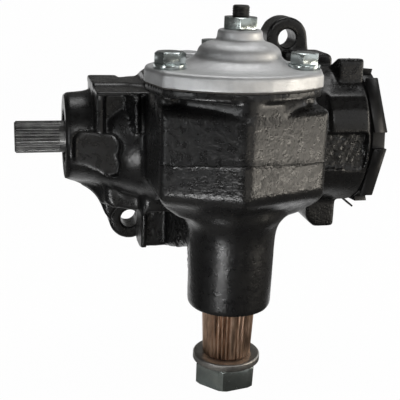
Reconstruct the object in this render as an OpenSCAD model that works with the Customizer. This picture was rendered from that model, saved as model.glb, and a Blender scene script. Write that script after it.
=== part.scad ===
// Manual recirculating-ball steering gear with its side cover, pitman shaft and worm.
// X runs along the worm axis, Z along the pitman axis, Y towards the vehicle frame.
// The origin is on the pitman axis at the large end of the arm spline. Millimetres.

/* [Housing] */
// Height of the worm axis above the large end of the arm spline
worm_z = 88; // [86:0.5:92]
// Outer radius of the worm barrel
barrel_r = 42.5; // [41.5:0.25:44]
// Outer radius of the input nose
nose_r = 26.3; // [25.5:0.25:28]
// Outer radius of the pitman tube at its lower end
tube_r = 24.2; // [23.6:0.2:26]
// Height of the foot of the pitman tube
tube_z = 0.5; // [0.25:0.25:3]

/* [Side cover] */
// Thickness of the cover flange
flange_t = 8; // [7:0.25:9.5]
// Thickness of the cover gasket
gasket_t = 0.8; // [0.5:0.1:1.2]
// Thread diameter of the cover bolts
bolt_d = 9.5; // [8:0.1:9.8]
// Width across the flats of the cover bolt heads
bolt_af = 14.3; // [13.5:0.1:15.5]

/* [Shafts] */
// Diameter of the input spline
input_d = 19.05; // [18:0.05:20]
// Exposed length of the input spline
input_len = 29; // [26:0.5:36]
// Diameter of the arm spline at its large end
arm_d = 31; // [30:0.1:31.4]
// Length of the arm spline
arm_len = 31; // [28:0.5:34]
// Diameter of the pitman shaft in its bushings
journal_d = 32; // [31.75:0.25:32.5]

/* [Mounting] */
// Diameter of the two frame bolt holes
lug_hole_d = 12; // [10:0.5:13]
// Outer radius of the frame bolt lugs
lug_r = 13.4; // [12.5:0.1:15]
// Thickness of the frame bolt lugs
lug_t = 20; // [16:0.5:22]

/* [Hidden] */
$fn = 96;

// Gear pair: one worm turn moves the nut by the lead, sixteen turns make one sector turn
lead = 12.7;
ratio = 16;
pitch_r = ratio * lead / (2 * PI);
backlash = 0.42;
face_w = 28;
sector_tip = pitch_r + 3.9;
sector_root = pitch_r - 4.3;
rack_tip = pitch_r - 3.5;
rack_root = pitch_r + 4.5;

// Clearances
run_gap = 0.05;
seat_gap = 0.02;
race_gap = 0.36;

// Worm axis, balls and bearings
worm_y = 58.5;
worm_r = 11.5;
ball_r = 3.57;
ball_path = 13;
groove_r = 4.15;
thread_half = 44;
bear_x = 61;
bear_path = 13.5;
cup_r = 20;
cup_x = bear_x + 9;
input_r = input_d / 2;
seal_journal = 10.6;

// Housing
nose_x = -91;
barrel_x1 = 88;
bore_r = 34;
bore_x0 = -53;
end_half = 29.5;
seat_z = worm_z + 42.2;
mount_y = 101;
lug_y = mount_y - lug_t;
lug_hi = [53, worm_z + 57];
lug_lo = [-47.5, worm_z - 60.5];
boss_x = 69.5;
boss_z = worm_z - 44;
boss_tap = 4.7;

// Cover
cover_x = -3.7;
gasket_z = seat_z + gasket_t;
flange_z = gasket_z + flange_t;
bolt_at = [[-36.5, -13], [36.5, -13], [0, 46]];
bolt_engage = 7;
bolt_hole = bolt_d / 2 + 0.25;
washer_r = 8.65;
washer_t = 2.4;
bolt_head = 6.2;
hub_r = 19.5;
hub_z = gasket_z - 10;
trunnion_r = 12;
bush_t = 2.6;
cap_z = flange_z + 7;
neck_z = flange_z + 19.2;
lash_r = 4.7;
lash_top = neck_z + 12.6;
lash_nut_h = 6.5;
lash_nut_af = 17.5;

// Pitman shaft
journal_r = journal_d / 2;
arm_r = arm_d / 2;
arm_taper = 2.6;
arm_r2 = arm_r - arm_len * tan(arm_taper);
sector_z0 = worm_z - face_w / 2;
sector_z1 = worm_z + face_w / 2;
floor_z = sector_z0 - 4;
trunnion_z = flange_z + 2.6;
tslot_z = trunnion_z - 8;
shim_t = 0.6;
thread_r = 11.1;
lock_t = 4.6;
lock_r = 19.8;
nut_h = 13.2;
nut_af = 33.3;
bush_wall = 2.2;
bush_r = journal_r + bush_wall;
seal_r = tube_r - 3.2;

// Adjuster end
plug_x0 = 62;
tab_t = 1.2;
ring_t = 8;
ring_af = 82.6;
ring_turn = 5.6;
ring_x = barrel_x1 + tab_t;
plug_r = bore_r - seat_gap;
neck_r = 29;

// Plane outlines
function unit(v) = v / norm(v);
function corner(p, a, b, r) = r == 0 ? [p] :
    let (
        u = unit(a - p),
        w = unit(b - p),
        half = acos(u * w) / 2,
        c = p + unit(u + w) * r / sin(half),
        d = p + u * r / tan(half) - c,
        s = atan2(d[1], d[0]),
        n = 6
    )
    [for (i = [0:n]) c + r * [cos(s + i * (180 - 2 * half) / n), sin(s + i * (180 - 2 * half) / n)]];
function rounded(pts, rads) =
    let (n = len(pts))
    [for (i = [0:n - 1]) each corner(pts[i], pts[(i + n - 1) % n], pts[(i + 1) % n], rads[i])];

// Cover outline: a bowed front edge between two corners and three bolt lobes
function cover_outline(cut) =
    let (
        bow = [for (a = [-38:9.5:38]) [60.4 * sin(a) * (1 - cut / 60), 14.9 - (60.4 - cut) * cos(a)]],
        rest = [
            [43 - cut, -27.5 + cut * 0.4], [49.3 - cut, -6], [47 - cut, 6], [15 - cut * 0.5, 58 - cut],
            [-15 + cut * 0.5, 58 - cut], [-47 + cut, 6], [-49.3 + cut, -6], [-43 + cut, -27.5 + cut * 0.4]
        ]
    )
    rounded(concat(bow, rest), concat([for (p = bow) 0], [3.5, 12, 14, 10, 10, 14, 12, 3.5]));

// Sector tooth flank
function inv_angle(r, base) = tan(acos(base / r)) * 180 / PI - acos(base / r);
function flank(base, half, r) = half - inv_angle(max(r, base), base);

module xcyl(r, x0, x1, y = 0, z = 0) {
    translate([x0, y, z]) rotate([0, 90, 0]) cylinder(r = r, h = x1 - x0);
}

module ycyl(r, y0, y1, x = 0, z = 0) {
    translate([x, y0, z]) rotate([-90, 0, 0]) cylinder(r = r, h = y1 - y0);
}

module zcyl(r, z0, z1) {
    translate([0, 0, z0]) cylinder(r = r, h = z1 - z0);
}

module box(x0, x1, y0, y1, z0, z1) {
    translate([x0, y0, z0]) cube([x1 - x0, y1 - y0, z1 - z0]);
}

// A turned piece on the worm axis, its profile given as [radius, x]
module worm_turned(pts) {
    translate([0, worm_y, worm_z]) rotate([0, 90, 0]) rotate_extrude() polygon(pts);
}

module worm_ring_cut(x, r) {
    translate([x, worm_y, worm_z]) rotate([0, 90, 0]) rotate_extrude()
        translate([bear_path, 0]) circle(r = r, $fn = 48);
}

// Hexagon with both rims turned off at the corners
module hex_prism(af, h, both) {
    rc = af / sqrt(3);
    intersection() {
        cylinder(r = rc, h = h, $fn = 6);
        union() {
            translate([0, 0, h - 1.2]) cylinder(r1 = rc + 0.3, r2 = rc - 1.3, h = 1.2);
            translate([0, 0, both ? 1.2 : -0.1]) cylinder(r = rc + 0.3, h = both ? h - 2.4 : h - 1.1);
            if (both) cylinder(r1 = rc - 1.3, r2 = rc + 0.3, h = 1.2);
        }
    }
}

// A plate standing across Y from a side outline in X and Z
module y_plate(pts, y0, y1) {
    translate([0, y1, 0]) rotate([90, 0, 0]) linear_extrude(height = y1 - y0) polygon(pts);
}

// A plate along X from an outline in Y and Z, heights counted from the worm axis
module x_plate(pts, x0, x1) {
    translate([x0, 0, worm_z]) rotate([90, 0, 90]) linear_extrude(height = x1 - x0) polygon(pts);
}

// Plan of the sector chamber, with its two-sided front
module chamber_outline() {
    polygon(rounded(
        [[-5, -47], [44, -28], [46.5, 0], [45, 46], [-45, 46], [-48.5, 0], [-47, -28]],
        [9, 5, 14, 3, 3, 14, 5]));
}

// Rolled upper and lower edges along one side of the front, a distance out from the pitman axis
module front_roll(turn, out) {
    rotate([0, 0, turn]) x_plate([[90, -31.2], [18 - out, -31.2], [14 - out, -26.6], [9 - out, -22.2],
        [5 - out, -19.2], [2.4 - out, -16.8], [0.7 - out, -14], [-0.4 - out, -10.8], [-0.4 - out, 26],
        [0.5 - out, 28.7], [1.9 - out, 30.6], [4.4 - out, 31.8], [9 - out, 32.4], [90, 32.4]], -90, 90);
}

// Chamber block: flat front sides, drawn in underneath and rolled over at the top
module chamber_block() {
    z = worm_z;
    intersection() {
        translate([0, 0, z - 32]) linear_extrude(height = 66) chamber_outline();
        front_roll(atan2(19, 49), 42);
        front_roll(-atan2(19, 42), 44.88);
        y_plate([[-32, z - 31.6], [-38, z - 27.4], [-42.5, z - 22.6], [-45.4, z - 18.4], [-47.4, z - 14],
            [-50, z - 10], [-50, z + 26], [-47.6, z + 29.6], [-44, z + 33], [40, z + 33], [43.4, z + 30.6],
            [45.6, z + 27], [48, z + 20], [48, z - 14], [45.8, z - 19.4], [43.8, z - 23], [40, z - 26.8],
            [34, z - 31.6]], -60, 60);
    }
}

// Neck between the block and the cover seat, drawn in behind the corners of the block
module seat_neck() {
    translate([0, 0, worm_z + 26]) linear_extrude(height = 14) polygon(rounded(
        [[-5, -46.4], [15, -38.6], [30, -25], [38.5, -10], [40, 10], [40, 46], [-41, 46], [-41.5, 10],
            [-40.5, -10], [-34, -25]],
        [9, 6, 8, 8, 6, 3, 3, 6, 8, 6]));
    translate([cover_x, 0, seat_z - 4.4]) linear_extrude(height = 4.4) polygon(cover_outline(0.8));
    for (p = bolt_at) translate([cover_x + p[0], p[1], worm_z + 24])
        cylinder(r = bolt_d / 2 + 3, h = seat_z - worm_z - 25);
}

// Pitman tube with the fillet under the block
module pitman_tube() {
    rotate_extrude() polygon([[0, tube_z], [tube_r - 1.6, tube_z], [tube_r - 0.5, tube_z + 0.5],
        [tube_r, tube_z + 1.8], [tube_r + 0.6, worm_z - 52], [tube_r + 0.9, worm_z - 45],
        [tube_r + 1.6, worm_z - 40.5], [tube_r + 2.8, worm_z - 37], [tube_r + 4.6, worm_z - 34],
        [tube_r + 6.6, worm_z - 32], [tube_r + 6.6, worm_z - 20], [0, worm_z - 20]]);
}

// Barrel, and the nose that swells into it
module worm_barrel() {
    xcyl(barrel_r, -40, barrel_x1, worm_y, worm_z);
    worm_turned([[0, nose_x], [nose_r - 1.5, nose_x], [nose_r, nose_x + 1.5], [nose_r + 0.8, -80],
        [nose_r + 2.6, -73], [nose_r + 6.5, -64], [nose_r + 9.3, -57], [nose_r + 10.6, -52],
        [nose_r + 11.4, -46], [nose_r + 14, -42], [nose_r + 15.6, -39], [0, -39]]);
}

// Hollow shelf over the nose: a roof, a left rib, a right cheek and the mass behind them
module nose_shelf() {
    z = worm_z;
    box(-75, -44.5, 21.5, 80, z + 30.4, z + 32.6);
    box(-75, -57, 46, 80, z + 30, z + 34);
    box(-75, -70, 22.5, 60, z + 7, z + 31);
    box(-75, -44.5, 31.5, 78, z + 5, z + 31);
    translate([0, 0, z + 9]) linear_extrude(height = 22)
        polygon(rounded([[-58, 32], [-53, 20.5], [-51, 20.5], [-49.6, 32], [-49.6, 60], [-58, 60]],
            [0, 1.5, 1, 0, 0, 0]));
}

// Slanted panel, S-shaped web and lower frame lug beside the nose
module lower_mount() {
    z = worm_z;
    x = lug_lo[0];
    y_plate([[-68.5, z - 14], [-68.5, z - 38.4], [-64, z - 40.4], [-52, z - 42.3], [-40, z - 43.5],
        [-40, z - 14]], 41, 86);
    y_plate([[-87.4, z - 12], [-86.4, z - 25.4], [-80, z - 34.6], [-75.8, z - 36.8],
        [-72.2, z - 39.8], [-69.4, z - 43.6], [-67, z - 48.4], [-64.8, z - 53.6],
        [x - lug_r * 0.99, lug_lo[1] + lug_r * 0.12], [x, lug_lo[1]],
        [x + lug_r * 0.99, lug_lo[1] + 0.5], [-28, z - 40], [-28, z - 10]], 70, mount_y - 0.6);
    y_plate([[-88, z - 8], [-87.6, z - 24], [-84.4, z - 27.4], [-80.6, z - 29.4], [-76.4, z - 31.6],
        [-72.8, z - 34.8], [-70.6, z - 38.4], [-69, z - 42.5], [-58, z - 42.5], [-30, z - 38],
        [-30, z - 8]], 52, 72);
    ycyl(lug_r, lug_y, mount_y, x, lug_lo[1]);
}

// Foot beside the tube: a thin left rib, a back wall and a cheek that runs into the tube
module foot_block() {
    z = worm_z;
    intersection() {
        x_plate([[0, -53], [10, -56], [25, -61.2], [38, -65.4], [50, -68.5], [90, -68.5], [90, -25],
            [0, -25]], -60, 5);
        union() {
            y_plate(rounded([[-46.5, z - 34], [-46.5, z - 67], [-43.3, z - 70], [-43.3, z - 34]],
                [0, 1, 0, 0]), 36, 56);
            y_plate(rounded([[-46.5, z - 34], [-46.5, z - 70], [-14, z - 70], [-14, z - 34]],
                [0, 5, 0, 0]), 47, 84);
            y_plate([[-46.5, z - 30], [-46.5, z - 42.4], [-14, z - 42.4], [-14, z - 30]], 35, 84);
            translate([0, 0, z - 70]) linear_extrude(height = 38) polygon(rounded([[-20, 5], [-25.5, 12],
                [-27, 30], [-30.5, 50], [-14, 60], [0, 60], [0, 5]], [0, 4, 8, 0, 0, 0, 0]));
        }
    }
}

// Upper frame lug on its upright, and the web beside it
module upper_mount() {
    z = worm_z;
    x = lug_hi[0];
    ycyl(lug_r, lug_y, mount_y, x, lug_hi[1]);
    y_plate([[x - lug_r * 0.985, lug_hi[1] + 2], [x - lug_r * 1.15, z + 20], [x + lug_r * 1.4, z + 20],
        [x + lug_r * 0.985, lug_hi[1] + 2]], lug_y, mount_y - 0.6);
    y_plate(rounded([[50, z + 20], [82, z + 20], [82, z + 48.4], [50, z + 48.4]], [0, 0, 4, 0]), 74, 99);
}

// Pads at the adjuster end: an upstanding rib, a facet below it and the lower boss
module end_pads() {
    z = worm_z;
    x_plate([[35, 24], [35, 48.2], [36.2, 49.8], [41, 49.8], [52, 44.5], [62, 41], [62, 24]],
        72, barrel_x1 - 0.3);
    x_plate([[15.4, 2], [15.4, 8.5], [16, 15], [18.6, 22], [24, 29.5], [45, 39], [45, 2]],
        62.5, barrel_x1 - 1.4);
    y_plate(rounded([[60, z - 30], [60, z - 52], [65.5, z - 57.8], [79, z - 57.8], [79, z - 30]],
        [0, 4, 4, 2, 0]), 43, mount_y);
}

module housing_mass() {
    worm_barrel();
    chamber_block();
    seat_neck();
    pitman_tube();
    nose_shelf();
    lower_mount();
    foot_block();
    upper_mount();
    end_pads();
}

// Bores for the worm, the nut and the bearings
module worm_bores() {
    xcyl(bore_r, -40, barrel_x1 + 2, worm_y, worm_z);
    intersection() {
        xcyl(bore_r, bore_x0, -39, worm_y, worm_z);
        box(bore_x0 - 1, -38, 0, 120, worm_z - end_half, worm_z + end_half);
    }
    xcyl(cup_r + seat_gap, -cup_x, bore_x0 + 1, worm_y, worm_z);
    xcyl(seal_journal + 1.5, -81, 1 - cup_x, worm_y, worm_z);
    xcyl(16, nose_x - 1, -80, worm_y, worm_z);
}

// Sector chamber, open under the cover
module sector_chamber(z0, z1) {
    zcyl(27.5, z0, z1);
    intersection() {
        zcyl(37.8, z0, z1);
        box(-40, 40, 8, 60, z0 - 1, z1 + 1);
    }
}

module gear_housing() {
    z = worm_z;
    color([0.09, 0.09, 0.1]) difference() {
        housing_mass();
        // Machined seat for the cover
        translate([cover_x, 0, seat_z]) linear_extrude(height = 12) polygon(cover_outline(-1.2));
        // Flat over the left end of the barrel
        box(-80, -44.6, 20, 110, z + 34.2, z + 60);
        worm_bores();
        sector_chamber(floor_z, seat_z + 1);
        // Pitman bore and seal pocket
        zcyl(bush_r + seat_gap, tube_z - 1, floor_z + 1);
        zcyl(seal_r + seat_gap, tube_z - 1, tube_z + 9);
        // Cover bolt holes
        for (p = bolt_at) translate([cover_x + p[0], p[1], seat_z - bolt_engage - 0.8])
            cylinder(r = bolt_d / 2 + seat_gap, h = 20);
        // Frame bolt holes
        ycyl(lug_hole_d / 2, lug_y - 20, mount_y + 2, lug_lo[0], lug_lo[1]);
        ycyl(lug_hole_d / 2, lug_y - 4, mount_y + 2, lug_hi[0], lug_hi[1]);
        ycyl(boss_tap, mount_y - 24, mount_y + 2, boss_x, boss_z);
        // Relief in front of the lower lug so that a bolt head can pass
        ycyl(lug_r + 0.4, 60, lug_y, lug_lo[0], lug_lo[1]);
        // Flat recess on the nose
        y_plate(rounded([[-87, z - 15.4], [-74, z - 17], [-61.5, z - 19.4], [-59.6, z - 11], [-61.8, z - 4],
            [-59.8, z + 2.4], [-63.4, z + 7], [-75, z + 8.2], [-87, z + 9.4]],
            [6, 0, 3, 3, 3, 2, 4, 0, 6]), 15, 34.4);
        // Rough band across the barrel beside the adjuster
        y_plate(rounded([[51, z - 13], [86, z - 14.6], [86, z + 8.4], [51, z + 8.4]],
            [2, 2, 2, 2]), 5, 20.4);
        // Key slot for the tab washer
        box(barrel_x1 - 2.2, barrel_x1 + 1, worm_y - 3.1, worm_y + 3.1, z + 30, z + 40.2);
    }
}

module side_cover() {
    color([0.72, 0.73, 0.74]) difference() {
        union() {
            translate([cover_x, 0, gasket_z]) {
                linear_extrude(height = flange_t - 1.2) polygon(cover_outline(0));
                linear_extrude(height = flange_t) polygon(cover_outline(1.2));
            }
            translate([0, 0, flange_z]) rotate_extrude() polygon([[0, -1], [36, -1], [36, 0], [31.5, 0.7],
                [27.5, 2], [24.6, 3.6], [23.1, 5.1], [22.9, 6.4], [22.5, 8], [21.2, 9.9], [18.8, 11.5],
                [15.6, 12.5], [13.4, 13.1], [12.5, 14.2], [12.2, 18.2], [11.5, 19.2], [0, 19.2]]);
            translate([-24, 17, flange_z - 1]) cylinder(r1 = 9, r2 = 7.6, h = 6);
            zcyl(hub_r, hub_z, gasket_z + 1);
        }
        zcyl(trunnion_r + bush_t + seat_gap, hub_z - 1, cap_z);
        zcyl(lash_r + 0.03, cap_z - 1, neck_z + 1);
        for (p = bolt_at) translate([cover_x + p[0], p[1], gasket_z - 1]) {
            cylinder(r = bolt_hole, h = flange_t + 2);
            translate([0, 0, flange_t + 0.99]) cylinder(r = washer_r + 0.8, h = 20);
        }
    }
}

module cover_gasket() {
    color([0.2, 0.18, 0.15]) difference() {
        translate([cover_x, 0, seat_z]) linear_extrude(height = gasket_t) polygon(cover_outline(0.9));
        sector_chamber(seat_z - 1, gasket_z + 1);
        for (p = bolt_at) translate([cover_x + p[0], p[1], seat_z - 1])
            cylinder(r = bolt_hole, h = gasket_t + 2);
    }
}

module cover_bolts() {
    turn = [-4, 8, 20];
    color([0.75, 0.77, 0.76]) for (i = [0:2]) translate([cover_x + bolt_at[i][0], bolt_at[i][1], 0]) {
        translate([0, 0, flange_z + washer_t]) rotate([0, 0, turn[i]]) hex_prism(bolt_af, bolt_head, false);
        zcyl(bolt_d / 2, seat_z - bolt_engage, flange_z + washer_t + 1);
    }
}

// Split spring washers: a ring cut open on one side
module cover_lock_washers() {
    color([0.7, 0.72, 0.72]) for (i = [0:2]) translate([cover_x + bolt_at[i][0], bolt_at[i][1], flange_z])
        difference() {
            cylinder(r = washer_r, h = washer_t);
            translate([0, 0, -1]) cylinder(r = bolt_d / 2 + 0.25, h = washer_t + 2);
            rotate([0, 0, 60 + 90 * i]) translate([0, -0.5, -1]) rotate([20, 0, 0])
                cube([12, 0.9, washer_t + 4]);
        }
}

module cover_bushing() {
    color([0.7, 0.52, 0.25]) difference() {
        zcyl(trunnion_r + bush_t, hub_z + 1, trunnion_z - 9);
        zcyl(trunnion_r + run_gap, hub_z, trunnion_z);
    }
}

module lash_adjuster() {
    color([0.12, 0.12, 0.13]) difference() {
        union() {
            zcyl(lash_r, tslot_z + 3, lash_top - 0.8);
            translate([0, 0, lash_top - 0.8]) cylinder(r1 = lash_r, r2 = lash_r - 0.8, h = 0.8);
            zcyl(7.4, tslot_z + shim_t + 0.4, tslot_z + 4.4);
        }
        translate([0, 0, lash_top - 4]) cylinder(r = 2.75, h = 5, $fn = 6);
    }
}

module lash_locknut() {
    color([0.75, 0.77, 0.76]) difference() {
        translate([0, 0, neck_z]) rotate([0, 0, 16]) hex_prism(lash_nut_af, lash_nut_h, true);
        zcyl(lash_r + seat_gap, neck_z - 1, neck_z + 20);
    }
}

module lash_shim() {
    color([0.6, 0.6, 0.58]) zcyl(7, tslot_z, tslot_z + shim_t);
}

module sector_teeth() {
    base = pitch_r * cos(20);
    half = (lead / 2 - backlash) / (2 * pitch_r) * 180 / PI + inv_angle(pitch_r, base);
    radii = [sector_root - 1, base, base + 1.1, pitch_r, pitch_r + 1.6, sector_tip - 0.9, sector_tip];
    last = len(radii) - 1;
    for (k = [-1:1]) rotate([0, 0, 90 + k * 360 / ratio]) polygon(concat(
        [for (r = radii) r * [cos(flank(base, half, r)), -sin(flank(base, half, r))]],
        [for (i = [last:-1:0]) let (a = flank(base, half, radii[i])) radii[i] * [cos(a), sin(a)]]));
}

module pitman_shaft() {
    tip = -arm_len - lock_t - nut_h - 1.2;
    color([0.55, 0.42, 0.32]) difference() {
        union() {
            // Arm spline cone, neck, thread and journal
            rotate_extrude() polygon([[0, tip], [thread_r - 1, tip], [thread_r, tip + 1.2],
                [thread_r, -arm_len], [arm_r2 - 0.8, -arm_len],
                [arm_r2, -arm_len + 0.9], [arm_r, 0], [arm_r + 0.5, 1], [journal_r, 2.5],
                [journal_r, sector_z0 - 3.4], [journal_r + 4, sector_z0 - 3.4], [journal_r + 4, sector_z1],
                [trunnion_r + 2, sector_z1], [trunnion_r, sector_z1 + 2], [trunnion_r, trunnion_z - 0.8],
                [trunnion_r - 0.8, trunnion_z], [0, trunnion_z]]);
            // Sector body and its three teeth
            translate([0, 0, sector_z0]) linear_extrude(height = face_w) union() {
                intersection() {
                    circle(r = sector_root);
                    polygon([[0, 0], [-60, 93], [60, 93]]);
                }
                sector_teeth();
            }
        }
        // Arm spline grooves, four places left blank
        for (k = [0:35]) if (k % 9 != 0) rotate([0, 0, k * 10 - 90]) translate([arm_r, 0, 0])
            rotate([0, arm_taper, 0]) translate([-1.2, 0, -arm_len - 4])
                linear_extrude(height = arm_len + 5) polygon([[0, 0], [2.4, -2], [2.4, 2]]);
        // Slot for the head of the lash adjuster
        box(-15, 15, -7.85, 7.85, tslot_z, tslot_z + 4.9);
        box(-15, 15, -lash_r - 0.5, lash_r + 0.5, tslot_z + 4, trunnion_z + 1);
    }
}

module pitman_bushing_upper() {
    color([0.7, 0.52, 0.25]) difference() {
        zcyl(bush_r, worm_z - 44, floor_z - 1);
        zcyl(journal_r + run_gap, worm_z - 46, floor_z + 1);
    }
}

module pitman_bushing_lower() {
    color([0.7, 0.52, 0.25]) difference() {
        zcyl(bush_r, tube_z + 10.5, tube_z + 34);
        zcyl(journal_r + run_gap, tube_z + 9, tube_z + 36);
    }
}

module pitman_seal() {
    color([0.1, 0.1, 0.1]) difference() {
        zcyl(seal_r, tube_z + 1.2, tube_z + 9);
        zcyl(journal_r + run_gap, tube_z, tube_z + 10);
        rotate_extrude() polygon([[journal_r + 1, tube_z], [seal_r - 1.2, tube_z],
            [seal_r - 1.2, tube_z + 3], [journal_r + 1, tube_z + 4.5]]);
    }
}

module pitman_lock_washer() {
    color([0.5, 0.5, 0.5]) difference() {
        translate([0, 0, -arm_len - lock_t]) rotate_extrude() polygon([[thread_r + 0.15, 0],
            [lock_r - 0.7, 0], [lock_r, 0.7], [lock_r, lock_t - 0.7], [lock_r - 0.7, lock_t],
            [thread_r + 0.15, lock_t]]);
        rotate([0, 0, 60]) translate([0, -0.7, -arm_len - lock_t - 1]) rotate([18, 0, 0])
            cube([22, 1.3, lock_t + 5]);
    }
}

module pitman_nut() {
    color([0.66, 0.68, 0.68]) difference() {
        translate([0, 0, -arm_len - lock_t - nut_h]) rotate([0, 0, -48]) hex_prism(nut_af, nut_h, true);
        zcyl(thread_r + seat_gap, -arm_len - lock_t - nut_h - 1, -arm_len - lock_t + 1);
    }
}

// Cross-section of the worm thread, swept along the axis with the lead
function thread_profile() = concat(
    [for (a = [-102:17:102])
        (ball_path - sqrt(groove_r * groove_r - pow(lead * a / 360, 2))) * [cos(a), sin(a)]],
    [for (a = [121:19.6:240]) worm_r * [cos(a), sin(a)]]);

module worm_shaft() {
    tip = nose_x - input_len;
    color([0.5, 0.5, 0.52]) difference() {
        union() {
            worm_turned([[0, tip], [input_r - 1, tip], [input_r, tip + 1], [input_r, nose_x + 2],
                [seal_journal, nose_x + 3], [seal_journal, -66], [worm_r, -66], [worm_r, -bear_x + 0.5],
                [15.2, -bear_x + 3.4], [15.2, -53.5], [worm_r + 0.4, -48],
                [worm_r + 0.4, -thread_half + 0.6], [0, -thread_half + 0.6]]);
            worm_turned([[0, thread_half - 0.6], [worm_r + 0.4, thread_half - 0.6], [worm_r + 0.4, 48],
                [15.2, 53.5], [15.2, bear_x - 3.4], [worm_r, bear_x - 0.5], [worm_r, 66], [9.5, 66],
                [9.5, 73], [8.7, 74], [0, 74]]);
            translate([-thread_half, worm_y, worm_z]) rotate([0, 90, 0])
                linear_extrude(height = 2 * thread_half, twist = -720 * thread_half / lead,
                    slices = 98, $fn = 20) polygon(thread_profile());
        }
        worm_ring_cut(-bear_x, ball_r + race_gap);
        worm_ring_cut(bear_x, ball_r + race_gap);
        // Input spline grooves
        for (k = [0:29]) translate([0, worm_y, worm_z]) rotate([k * 12 + 6, 0, 0])
            translate([tip - 1, 0, input_r - 0.8]) rotate([90, 0, 90])
                linear_extrude(height = input_len - 2) polygon([[0, 0], [1.5, 1.9], [-1.5, 1.9]]);
    }
}

module ball_nut() {
    y0 = rack_tip;
    color([0.45, 0.45, 0.47]) difference() {
        union() {
            xcyl(24.5, -28, 28, worm_y, worm_z);
            box(-28, 28, y0, worm_y, worm_z - face_w / 2, worm_z + face_w / 2);
        }
        // Ball track bore between two end lands
        xcyl(ball_path + ball_r + 0.15, -25, 25, worm_y, worm_z);
        xcyl(worm_r + 0.9, -30, 30, worm_y, worm_z);
        // Rack gaps for the three sector teeth
        for (k = [-1:1]) translate([k * lead, 0, worm_z - face_w / 2 - 1])
            linear_extrude(height = face_w + 2) polygon([
                [-(lead / 2 + backlash) / 2 - (pitch_r - y0 + 1) * tan(20), y0 - 1],
                [(lead / 2 + backlash) / 2 + (pitch_r - y0 + 1) * tan(20), y0 - 1],
                [(lead / 2 + backlash) / 2 - (rack_root - pitch_r) * tan(20), rack_root],
                [-(lead / 2 + backlash) / 2 + (rack_root - pitch_r) * tan(20), rack_root]]);
        // Flat and leg holes for the return guides
        box(-29, 29, worm_y + 20.5, worm_y + 40, worm_z - 26, worm_z + 26);
        for (s = [-1, 1]) for (x = [7, 21]) ycyl(5.02, worm_y + 10, worm_y + 30, s * x, worm_z + s * 6);
        for (s = [-1, 1]) ycyl(2.02, worm_y + 16.9, worm_y + 30, 0, worm_z + s * 12);
    }
}

// Two return tubes, each with two legs and a bridge
module ball_guides() {
    color([0.6, 0.6, 0.55]) for (s = [-1, 1]) difference() {
        union() {
            for (x = [7, 21]) ycyl(5, worm_y + 17, worm_y + 30.6, s * x, worm_z + s * 6);
            xcyl(4.6, min(s * 7, s * 21), max(s * 7, s * 21), worm_y + 25.4, worm_z + s * 6);
        }
        for (x = [7, 21]) ycyl(3.8, worm_y + 16, worm_y + 29.3, s * x, worm_z + s * 6);
        xcyl(3.7, min(s * 7, s * 21), max(s * 7, s * 21), worm_y + 25.4, worm_z + s * 6);
    }
}

module guide_clamp() {
    color([0.55, 0.55, 0.55]) difference() {
        union() {
            for (s = [-1, 1]) ycyl(3.7, worm_y + 20.5, worm_y + 22, 0, worm_z + s * 12);
            box(-1.6, 1.6, worm_y + 20.5, worm_y + 22, worm_z - 12, worm_z + 12);
        }
        for (s = [-1, 1]) ycyl(2.2, worm_y + 20, worm_y + 23, 0, worm_z + s * 12);
    }
}

module clamp_screws() {
    color([0.3, 0.3, 0.32]) for (s = [-1, 1]) difference() {
        union() {
            ycyl(2, worm_y + 17.2, worm_y + 22.5, 0, worm_z + s * 12);
            ycyl(3.4, worm_y + 22, worm_y + 24.4, 0, worm_z + s * 12);
        }
        box(-4, 4, worm_y + 23.6, worm_y + 25, worm_z + s * 12 - 0.5, worm_z + s * 12 + 0.5);
    }
}

// Two circuits of balls in the groove, each a turn and a sixth long
module ball_circuit(turn, first, last) {
    step = 32.6;
    for (i = [first:last]) translate([
        turn * lead - thread_half + lead * i * step / 360,
        worm_y + ball_path * cos(90 + i * step),
        worm_z + ball_path * sin(90 + i * step)
    ]) sphere(r = ball_r);
}

module recirculating_balls() {
    color([0.8, 0.8, 0.82]) {
        ball_circuit(2.5, -5, 7);
        ball_circuit(4.5, -7, 5);
    }
}

module bearing_cup(s) {
    worm_turned([[worm_r + 0.8, s * (bear_x + 0.6)], [cup_r, s * (bear_x + 0.6)],
        [cup_r, s * cup_x], [worm_r + 0.8, s * cup_x]]);
}

module upper_bearing_cup() {
    color([0.6, 0.6, 0.62]) difference() {
        bearing_cup(-1);
        worm_ring_cut(-bear_x, ball_r + race_gap);
    }
}

module lower_bearing_cup() {
    color([0.6, 0.6, 0.62]) difference() {
        bearing_cup(1);
        worm_ring_cut(bear_x, ball_r + race_gap);
    }
}

module bearing_balls(s) {
    color([0.8, 0.8, 0.82]) for (k = [0:9]) translate([s * bear_x, worm_y, worm_z]) rotate([k * 36, 0, 0])
        translate([0, 0, bear_path]) sphere(r = ball_r);
}

module upper_bearing_balls() {
    bearing_balls(-1);
}

module lower_bearing_balls() {
    bearing_balls(1);
}

module bearing_cage(s) {
    color([0.65, 0.55, 0.3]) difference() {
        worm_turned([[16.2, s * (bear_x - 0.1)], [19.2, s * (bear_x - 0.1)],
            [19.2, s * (bear_x - 2.3)], [16.2, s * (bear_x - 2.3)]]);
        for (k = [0:9]) translate([s * bear_x, worm_y, worm_z]) rotate([k * 36, 0, 0])
            translate([0, 0, bear_path]) sphere(r = ball_r + 0.1);
    }
}

module upper_bearing_cage() {
    bearing_cage(-1);
}

module lower_bearing_cage() {
    bearing_cage(1);
}

module worm_seal() {
    color([0.1, 0.1, 0.1]) difference() {
        xcyl(16 - seat_gap, nose_x + 2.4, nose_x + 10.5, worm_y, worm_z);
        xcyl(seal_journal + 0.3, nose_x, nose_x + 12, worm_y, worm_z);
        worm_turned([[seal_journal + 1.2, nose_x + 1], [14.6, nose_x + 1],
            [14.6, nose_x + 4.6], [seal_journal + 1.2, nose_x + 6]]);
    }
}

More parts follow.
